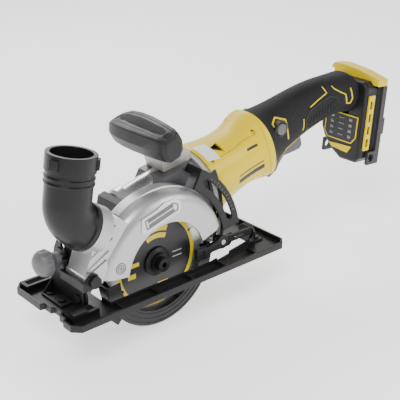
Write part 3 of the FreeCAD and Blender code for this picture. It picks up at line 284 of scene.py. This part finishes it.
LOOK = {
    "shoe": "shoe black", "front_stand": "bracket black", "rear_stand": "bracket black",
    "bevel_pins": "black oxide", "shoe_rivets": "black oxide", "bevel_bolt": "zinc",
    "bevel_knob": "knob grey", "tilt_front": "bracket black", "tilt_rear": "bracket black",
    "depth_quadrant": "bracket black", "depth_pin": "black oxide", "upper_guard": "guard silver",
    "guard_badge": "badge silver", "guard_screws": "black oxide", "gear_case": "case grey",
    "neck_ring": "pale ring", "nose_tube": "bright steel", "nose_fairing": "fairing dark",
    "arc_bracket": "bracket black", "depth_bolt": "zinc", "depth_lever": "black shell",
    "spindle": "bright steel", "inner_flange": "black oxide", "outer_flange": "black oxide",
    "blade_bolt": "black oxide", "blade": "blade face", "spindle_gear": "bright steel",
    "layshaft": "bright steel", "bevel_gear": "bright steel", "rotor_shaft": "bright steel",
    "bevel_pinion": "bright steel", "motor_bearings": "bright steel", "motor_can": "zinc",
    "motor_magnets": "magnet", "armature": "copper", "fan": "black shell", "housing_left": "yellow shell",
    "housing_right": "yellow shell", "housing_screws": "black oxide", "label_plate": "label pale",
    "grip_left": "grip rubber", "grip_right": "grip rubber", "lock_surround": "black shell",
    "lock_button": "grey button", "trigger": "grey button", "trigger_pin": "bright steel",
    "switch": "black shell", "leads": "lead red", "foot_shell": "black shell", "foot_cap": "yellow trim",
    "foot_trim": "yellow trim", "foot_label": "label dark", "battery_rails": "rail grey",
    "terminal_block": "black shell", "contacts": "copper", "hand_rest": "black shell",
    "handle_stalk": "stalk grey", "lower_guard": "lower guard black", "dust_elbow": "elbow black",
    "spindle_lock": "grey button",
}
EDGE = {"upper_guard": 0.9, "hand_rest": 0.5, "shoe": 0.6, "foot_cap": 0.8, "foot_shell": 0.8, "gear_case": 1.0,
        "housing_left": 0.5, "housing_right": 0.5, "grip_left": 0.4, "grip_right": 0.4, "nose_fairing": 1.0,
        "lower_guard": 0.5, "dust_elbow": 0.6, "depth_lever": 0.7, "trigger": 0.8, "guard_badge": 0.35,
        "handle_stalk": 0.9, "arc_bracket": 0.6, "tilt_front": 0.5, "tilt_rear": 0.5, "battery_rails": 0.7,
        "lock_button": 0.8, "bevel_knob": 0.7, "foot_trim": 0.4, "neck_ring": 0.6, "nose_tube": 0.5}


def dress(obj, look, edge=0.0, weld=False):
    obj.data.materials.clear()
    obj.data.materials.append(MATS[look])
    for poly in obj.data.polygons:
        poly.use_smooth = True
    if weld:
        w = obj.modifiers.new("weld", "WELD")
        w.merge_threshold = 0.00001
    if edge:
        b = obj.modifiers.new("edge", "BEVEL")
        b.width, b.segments, b.limit_method, b.angle_limit = edge * MM, 2, "ANGLE", math.radians(32)
        b.use_clamp_overlap = True
        n = obj.modifiers.new("normals", "WEIGHTED_NORMAL")
        n.weight, n.keep_sharp = 80, False
    return obj


for node, obj in NODES.items():
    if obj.data.has_custom_normals:
        obj.data.attributes.remove(obj.data.attributes["custom_normal"])
    dress(obj, LOOK[node], EDGE.get(node, 0.25), weld=True)


# ---------------------------------------------------------------- making pieces
def saw(x, y, z):
    """Millimetres in the pitched saw frame to metres in the row frame."""
    c, s = math.cos(PITCH), math.sin(PITCH)
    return Vector((x * c - z * s, y, x * s + z * c)) * MM + Vector((0, 0, AXIS.z))


def piece(name, verts, faces, look, body, edge=0.0, subsurf=0):
    me = bpy.data.meshes.new(name)
    me.from_pydata([tuple(v) for v in verts], [], faces)
    me.update()
    bm = bmesh.new()
    bm.from_mesh(me)
    bmesh.ops.remove_doubles(bm, verts=bm.verts, dist=1e-7)
    bmesh.ops.recalc_face_normals(bm, faces=bm.faces)
    bm.to_mesh(me)
    bm.free()
    ob = bpy.data.objects.new(name, me)
    bpy.context.scene.collection.objects.link(ob)
    dress(ob, look, edge)
    if subsurf:
        m = ob.modifiers.new("round", "SUBSURF")
        m.levels = m.render_levels = subsurf
    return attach(ob, body)


def tree_of(obj):
    mesh = obj.data
    return BVHTree.FromPolygons([v.co[:] for v in mesh.vertices], [p.vertices[:] for p in mesh.polygons])


def skin(nodes):
    """Search trees of CAD nodes, to lay a detail on their surface."""
    return [tree_of(NODES[n]) for n in nodes]


def cast_on(trees, start, aim):
    best = None
    for t in trees:
        hit, normal, _, d = t.ray_cast(start, aim)
        if hit is not None and (best is None or d < best[2]):
            best = (hit, normal if normal.dot(aim) < 0 else -normal, d)
    return best


def inlay(name, trees, path, aim, half, lift, look, body, closed=False):
    """A thin raised line laid on a surface along path, seen along aim."""
    pts = []
    n = len(path)
    for i in range(n if closed else n - 1):
        a, b = Vector(path[i]), Vector(path[(i + 1) % n])
        steps = max(1, int((b - a).length / 0.0015))
        pts += [a.lerp(b, k / steps) for k in range(steps)]
    if not closed:
        pts.append(Vector(path[-1]))
    rows = []
    m = len(pts)
    for i, p in enumerate(pts):
        before = pts[(i - 1) % m] if closed or i else p
        after = pts[(i + 1) % m] if closed or i < m - 1 else p
        hit = cast_on(trees, p, aim)
        if hit is None:
            continue
        along = (after - before).normalized()
        side = hit[1].cross(along).normalized()
        rows.append([hit[0] + side * half + hit[1] * -0.0003, hit[0] + side * half * 0.8 + hit[1] * lift,
                     hit[0] - side * half * 0.8 + hit[1] * lift, hit[0] - side * half + hit[1] * -0.0003])
    verts = [v for row in rows for v in row]
    faces = []
    k = len(rows)
    for i in range(k if closed else k - 1):
        j = (i + 1) % k
        for q in range(3):
            faces.append((4 * i + q, 4 * i + q + 1, 4 * j + q + 1, 4 * j + q))
        faces.append((4 * i + 3, 4 * i, 4 * j, 4 * j + 3))
    if not closed and k > 1:
        faces += [(0, 3, 2, 1), (4 * k - 4, 4 * k - 3, 4 * k - 2, 4 * k - 1)]
    return piece(name, verts, faces, look, body)


def plate(name, outline, z0, z1, place, look, body, edge=0.2):
    """Flat plate from an outline in a plane, placed by place(u, v, w)."""
    n = len(outline)
    verts = [place(u, v, z0) for u, v in outline] + [place(u, v, z1) for u, v in outline]
    faces = [tuple(range(n - 1, -1, -1)), tuple(range(n, 2 * n))]
    faces += [(i, (i + 1) % n, n + (i + 1) % n, n + i) for i in range(n)]
    return piece(name, verts, faces, look, body, edge)


# ---------------------------------------------------------------- front palm handle
def handle_section(y, xc, zc, rx, rz, top):
    """Eight-sided section with a flat top panel that stands top out of the half height."""
    return [(xc - rx, zc + rz * 0.15), (xc - rx * 0.80, zc + rz * 0.86), (xc - rx * 0.62, zc + rz * top),
            (xc + rx * 0.62, zc + rz * top), (xc + rx * 0.80, zc + rz * 0.86), (xc + rx, zc + rz * 0.15),
            (xc + rx * 0.86, zc - rz * 0.62), (xc + rx * 0.45, zc - rz), (xc - rx * 0.45, zc - rz),
            (xc - rx * 0.86, zc - rz * 0.62)]


HANDLE = [(-14.9, 39.5, 104.0, 8.6, 8.4), (-12.4, 39.5, 104.3, 12.4, 12.0), (-6.0, 39.6, 104.6, 14.4, 13.4),
          (12.0, 40.2, 104.7, 16.6, 13.8), (30.0, 40.8, 104.7, 18.2, 13.8), (46.0, 41.0, 104.6, 18.2, 13.6),
          (58.0, 41.0, 104.2, 16.6, 12.8), (66.0, 40.6, 103.4, 13.0, 10.6), (69.3, 40.5, 103.0, 9.4, 7.4)]


ABOVE = 132.0      # height from which lines are dropped on the handle
FLAT = 0.955       # height of its top panel, as a share of the half height


def build_handle():
    rings = [handle_section(*row, FLAT) for row in HANDLE]
    verts, faces, n = [], [], len(rings[0])
    for row, ring in zip(HANDLE, rings):
        verts += [saw(x, row[0], z) for x, z in ring]
    for i in range(len(rings) - 1):
        for k in range(n):
            j = (k + 1) % n
            faces.append((i * n + k, i * n + j, (i + 1) * n + j, (i + 1) * n + k))
    faces += [tuple(range(n)), tuple(range((len(rings) - 1) * n, len(rings) * n))]
    body = piece("palm_handle", verts, faces, "black shell", "saw", 1.6)
    body.modifiers["edge"].segments = 3
    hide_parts("hand_rest")
    tree = [tree_of(body)]
    inner = HANDLE[1:-1]
    left = [(x - rx * 0.50, y) for y, x, z, rx, rz in inner]
    right = [(x + rx * 0.50, y) for y, x, z, rx, rz in reversed(inner)]
    down = saw(0, 0, -1) - saw(0, 0, 0)
    path = [saw(x, y, ABOVE) for x, y in left + right]
    inlay("palm_handle_border", tree, path, down.normalized(), 0.0005, 0.00012, "label dark", "saw",
          closed=True)
    # a raised soft panel inside the border, narrower than it
    rows = [(x, y, rx * 0.42) for y, x, z, rx, rz in inner]
    verts, faces = [], []
    for x, y, h in rows:
        for s in (-1.0, -0.6, 0.0, 0.6, 1.0):
            hit = cast_on(tree, saw(x + s * h, y, ABOVE), down.normalized())
            lift = 0.00045 if abs(s) < 1 else -0.0003
            verts.append(hit[0] + hit[1] * lift)
    for i in range(len(rows) - 1):
        for k in range(4):
            faces.append((i * 5 + k, i * 5 + k + 1, (i + 1) * 5 + k + 1, (i + 1) * 5 + k))
    piece("palm_handle_panel", verts, faces, "grip rubber", "saw", 0.0, 1)


build_handle()

# ---------------------------------------------------------------- grip lines and panels
GRIP = skin(["grip_left", "grip_right"])
ALONG_Y = Vector((0, 1, 0))


NEAR_Y, FAR_Y = -30.0, 92.0      # where the casting lines start, outside either side


def on_grip(name, path, side=-1, half=0.0007, look="yellow trim", lift=0.0004, trees=None, closed=False):
    """Line on the near (-1) or far (+1) side of the grip, given in the saw frame."""
    y = NEAR_Y if side < 0 else FAR_Y
    pts = [saw(x, y, z) for x, z in path]
    return inlay(name, trees or GRIP, pts, -side * ALONG_Y, half, lift, look, "saw", closed)


GRIP_LINES = {
    "grip_line_long": (0.0007, [(232, 39.7), (246, 41.4), (259, 42.2), (258, 48.9)]),
    "grip_line_rear": (0.0007, [(269.6, 44.6), (271, 41.3), (277, 35.0), (283, 29.7)]),
    "grip_line_fin": (0.0009, [(283, 29.7), (283, 18.9), (287.5, 16.6), (291.0, 21.5), (291.6, 33.0)]),
    "grip_line_short": (0.0007, [(219.3, 32.5), (217.8, 22.6), (215.9, 20.8)]),
    "button_frame": (0.0012, [(177.6, 38.3), (175.3, 50.2), (183.1, 52.6), (193.9, 45.3), (192.3, 35.6),
                              (191.7, 24.4)]),
    "grip_lower_line": (0.0006, [(216, 11.7), (202, 12.8), (189, 13.6), (185, 8.0), (181, 4.4), (169, 3.0)]),
}
GRIP_PANEL = [(223, 18), (221.6, 30), (230, 36.4), (246, 37.6), (262, 37.4), (270, 32), (274, 22), (250, 15)]

for side, tag in ((-1, "near"), (1, "far")):
    for line, (half, path) in GRIP_LINES.items():
        on_grip(f"{line}_{tag}", path, side, half)
    on_grip(f"grip_seam_{tag}", [(196, 33), (204, 43), (214, 46)], side, 0.0004, "black shell", 0.0003)
    on_grip(f"grip_panel_{tag}", GRIP_PANEL, side, 0.0008, "black shell", 0.0005, closed=True)
    for i in range(9):
        x, lean = 229 + 4.4 * i, 0.2 * i
        rib = [(x, 21 + lean), (x + 2.2, 29 + lean)]
        on_grip(f"grip_rib_{tag}_{i}", rib, side, 0.0006, "grip rubber", 0.0005)

# ---------------------------------------------------------------- motor housing: seam, plain marks
HOUSE = skin(["housing_left", "housing_right"])
RIM_LINE = [(158.5, 4), (156.0, 16), (156.0, 44), (158.5, 56)]
on_grip("housing_rim_line_near", RIM_LINE, -1, 0.0006, "yellow shell", 0.0006, HOUSE)
for side, tag in ((-1, "near"), (1, "far")):
    top = [(88, 58), (104, 53), (122, 51), (150, 53)]
    on_grip(f"housing_seam_{tag}", top, side, 0.00022, "print dark", 0.00008, HOUSE)


def printed(name, corners, look, trees, rows=10, lift=0.00012, side=-1):
    """Plain printed patch that follows the surface; corners are in the saw frame."""
    (xa, za), (xb, zb), (xc, zc), (xd, zd) = corners
    y = NEAR_Y if side < 0 else FAR_Y
    verts, faces, n = [], [], rows + 1
    for i in range(n):
        for k in range(n):
            u, v = i / rows, k / rows
            x = (xa * (1 - u) + xb * u) * (1 - v) + (xd * (1 - u) + xc * u) * v
            z = (za * (1 - u) + zb * u) * (1 - v) + (zd * (1 - u) + zc * u) * v
            hit = cast_on(trees, saw(x, y, z), -side * ALONG_Y)
            rim = i in (0, rows) or k in (0, rows)
            verts.append(hit[0] + hit[1] * (-0.0001 if rim else lift))
    for i in range(rows):
        for k in range(rows):
            faces.append((i * n + k, (i + 1) * n + k, (i + 1) * n + k + 1, i * n + k + 1))
    return piece(name, verts, faces, look, "saw")


printed("housing_mark_bar", ((112, 17.4), (150, 17.4), (150, 22.6), (113, 22.6)), "print dark", HOUSE)
printed("housing_mark_thin", ((113.5, 25.0), (150, 25.0), (150, 26.4), (114, 26.4)), "print dark", HOUSE)
printed("housing_mark_small", ((133, 43.0), (147, 43.0), (147, 45.6), (133.6, 45.6)), "print dark", HOUSE)

# ---------------------------------------------------------------- battery foot
FOOT = Vector((0.295, 0.031, 0.0855))
TILT = math.radians(5.0)


def foot(x, y, z):
    """Millimetres in the frame of the foot to metres in the row frame."""
    c, s = math.cos(TILT), math.sin(TILT)
    return FOOT + Vector((x * c + z * s, y, -x * s + z * c)) * MM


def foot_front(u, v, w):
    return foot(-12.1 - w, u, v)


def frame_outline(outline, width):
    """Outline and its copy moved in by width, as a closed band."""
    pts = [Vector(p) for p in outline]
    n, inner = len(pts), []
    for i in range(n):
        a, b, c = pts[i - 1], pts[i], pts[(i + 1) % n]
        d0, d1 = (b - a).normalized(), (c - b).normalized()
        n0, n1 = Vector((-d0.y, d0.x)), Vector((-d1.y, d1.x))
        k = (n0 + n1).normalized()
        inner.append(b + k * (width / max(0.3, k.dot(n0))))
    return pts, inner


def band(name, outline, width, w0, w1, place, look, body):
    """Closed flat frame that follows an outline."""
    outer, inner = frame_outline(outline, width)
    n = len(outer)
    verts = [place(p.x, p.y, w) for w in (w0, w1) for ring in (outer, inner) for p in ring]
    faces = []
    for i in range(n):
        j = (i + 1) % n
        faces += [(2 * n + i, 2 * n + j, 3 * n + j, 3 * n + i), (i, n + i, n + j, j),
                  (i, j, 2 * n + j, 2 * n + i), (n + i, 3 * n + i, 3 * n + j, n + j)]
    return piece(name, verts, faces, look, body, 0.12)


label = [(-26.8, -16.8), (-20.9, -24.9), (12.7, -24.9), (18.0, -18.4), (18.0, 6.2), (-26.8, 6.2)]
band("foot_label_frame", label, 1.1, 0.0, 1.1, foot_front, "yellow trim", "saw")
for i in range(3):
    for k in range(4):
        u, v = -17.0 + 12.5 * i, 1.0 - 6.4 * k
        mark = [(u - 2.2, v - 1.6), (u + 2.2, v - 1.6), (u + 2.2, v + 1.6), (u - 2.2, v + 1.6)]
        if i == 1:
            mark = [(u - 3.6, v - 0.5), (u + 3.6, v - 0.5), (u + 3.6, v + 0.5), (u - 3.6, v + 0.5)]
        plate(f"foot_label_mark_{i}_{k}", mark, 0.75, 0.95, foot_front, "border grey", "saw", 0.0)

# ---------------------------------------------------------------- guard: round icon and raised badge
GUARD = skin(["upper_guard"])


def ring_on_guard(name, cx, cz, r, half, look="case grey", lift=0.00025):
    """Ring on the near face of the guard; cx and cz are millimetres from the blade axis."""
    path = [(cx + r * math.cos(a), cz + r * math.sin(a)) for a in np.linspace(0, 2 * math.pi, 25)[:-1]]
    pts = [AXIS + Vector((x, -40.0, z)) * MM for x, z in path]
    return inlay(name, GUARD, pts, ALONG_Y, half, lift, look, "saw", closed=True)


for i, r in enumerate((5.0, 3.2, 1.2)):
    ring_on_guard(f"guard_icon_{i}", -52.5, 17.0, r, 0.0005)
badge = [(-11.0, 49.4), (25.0, 49.4), (26.6, 52.0), (26.6, 55.6), (22.6, 59.0), (-11.0, 59.0)]


def badge_face(u, v, w):
    return saw(u, -18.6 - w, v)


band("badge_frame", badge, 1.0, -0.1, 0.45, badge_face, "case grey", "saw")

for i, (low, high) in enumerate(((50.8, 53.6), (55.0, 57.6))):
    bar = [(-8.0, low), (21.5, low), (21.5, high), (-8.0, high)]
    plate(f"badge_bar_{i}", bar, -0.1, 0.3, badge_face, "case grey", "saw", 0.1)

# ---------------------------------------------------------------- slotted arc: scale marks
ARC = skin(["arc_bracket"])
for i, deg in enumerate(range(20, 52, 3)):
    a = math.radians(deg)
    long = 3.4 if i % 4 == 0 else 2.2
    p0 = AXIS + Vector((math.cos(a) * 0.0885, -0.03, math.sin(a) * 0.0885))
    p1 = AXIS + Vector((math.cos(a) * (0.0885 + long * MM), -0.03, math.sin(a) * (0.0885 + long * MM)))
    inlay(f"depth_mark_{i}", ARC, [p0, p1], ALONG_Y, 0.00022, 0.00006, "border grey", "saw")

# ---------------------------------------------------------------- room
VIEW = math.radians(41.0)      # turn of the camera about the vertical
FORWARD = Vector((math.sin(VIEW), math.cos(VIEW), 0.0))
ACROSS = Vector((math.cos(VIEW), -math.sin(VIEW), 0.0))
floor_z = min(v.z for v in (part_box("lower_guard")[0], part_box("blade")[0])) - 0.001


def stage_sheet():
    rows = [(-1.6, 0.0), (1.1, 0.0), (1.35, 0.03), (1.52, 0.12), (1.6, 0.3), (1.62, 1.8)]
    verts, faces = [], []
    for d, h in rows:
        for s in (-3.0, 3.0):
            verts.append(FORWARD * d * 1.4 + ACROSS * s + Vector((0, 0, floor_z + h)))
    for i in range(len(rows) - 1):
        faces.append((2 * i, 2 * i + 1, 2 * i + 3, 2 * i + 2))
    me = bpy.data.meshes.new("studio_floor")
    me.from_pydata([tuple(v) for v in verts], [], faces)
    ob = bpy.data.objects.new("studio_floor", me)
    bpy.context.scene.collection.objects.link(ob)
    for poly in me.polygons:
        poly.use_smooth = True
    me.materials.append(MATS["studio paper"])


def paper(p):
    fibre = noise(p, 260.0, 3.0)
    col = mix(fibre * 0.15, (0.95, 0.95, 0.95), (0.92, 0.92, 0.92))
    return {"Base Color": col, "Roughness": fibre * 0.1 + 0.8, "Emission Color": (1.0, 1.0, 1.0),
            "Emission Strength": 0.95, "Bump": (fibre, 0.00002)}


material("studio paper", paper)
stage_sheet()


def lamp(name, place, aim, size, power, colour=(1.0, 1.0, 1.0)):
    data = bpy.data.lights.new(name, "AREA")
    data.shape, data.size, data.size_y = "RECTANGLE", size[0], size[1]
    data.energy, data.color = power, colour
    ob = bpy.data.objects.new(name, data)
    bpy.context.scene.collection.objects.link(ob)
    ob.location = place
    ob.rotation_euler = (Vector(aim) - Vector(place)).to_track_quat("-Z", "Y").to_euler()


lamp("key", (-0.7, -0.5, 1.1), (0.08, 0.0, 0.05), (0.7, 0.7), 16.0)
lamp("fill", (0.9, -1.0, 0.7), (0.1, 0.0, 0.05), (0.9, 0.6), 10.0)
lamp("rim", (0.3, 1.0, 0.9), (0.1, 0.0, 0.05), (1.0, 0.4), 9.0)

world = bpy.data.worlds.new("studio")
world.use_nodes = True
world.node_tree.nodes["Background"].inputs[0].default_value = (1.0, 1.0, 1.0, 1.0)
world.node_tree.nodes["Background"].inputs[1].default_value = 0.40
bpy.context.scene.world = world

EYE = (-466.8, -598.8, 419.2)      # millimetres in the row frame
LIFT = math.radians(24.08)         # how far the camera looks down
UP = FORWARD * math.sin(LIFT) + Vector((0, 0, math.cos(LIFT)))
BACK = FORWARD * -math.cos(LIFT) + Vector((0, 0, math.sin(LIFT)))
cam = bpy.data.cameras.new("camera")
cam.lens, cam.sensor_width = 83.6, 36.0
eye = bpy.data.objects.new("camera", cam)
bpy.context.scene.collection.objects.link(eye)
turn = Matrix((ACROSS, UP, BACK)).transposed().to_quaternion().to_matrix().to_4x4()
eye.matrix_world = Matrix.Translation(Vector(EYE) * MM) @ turn
bpy.context.scene.camera = eye
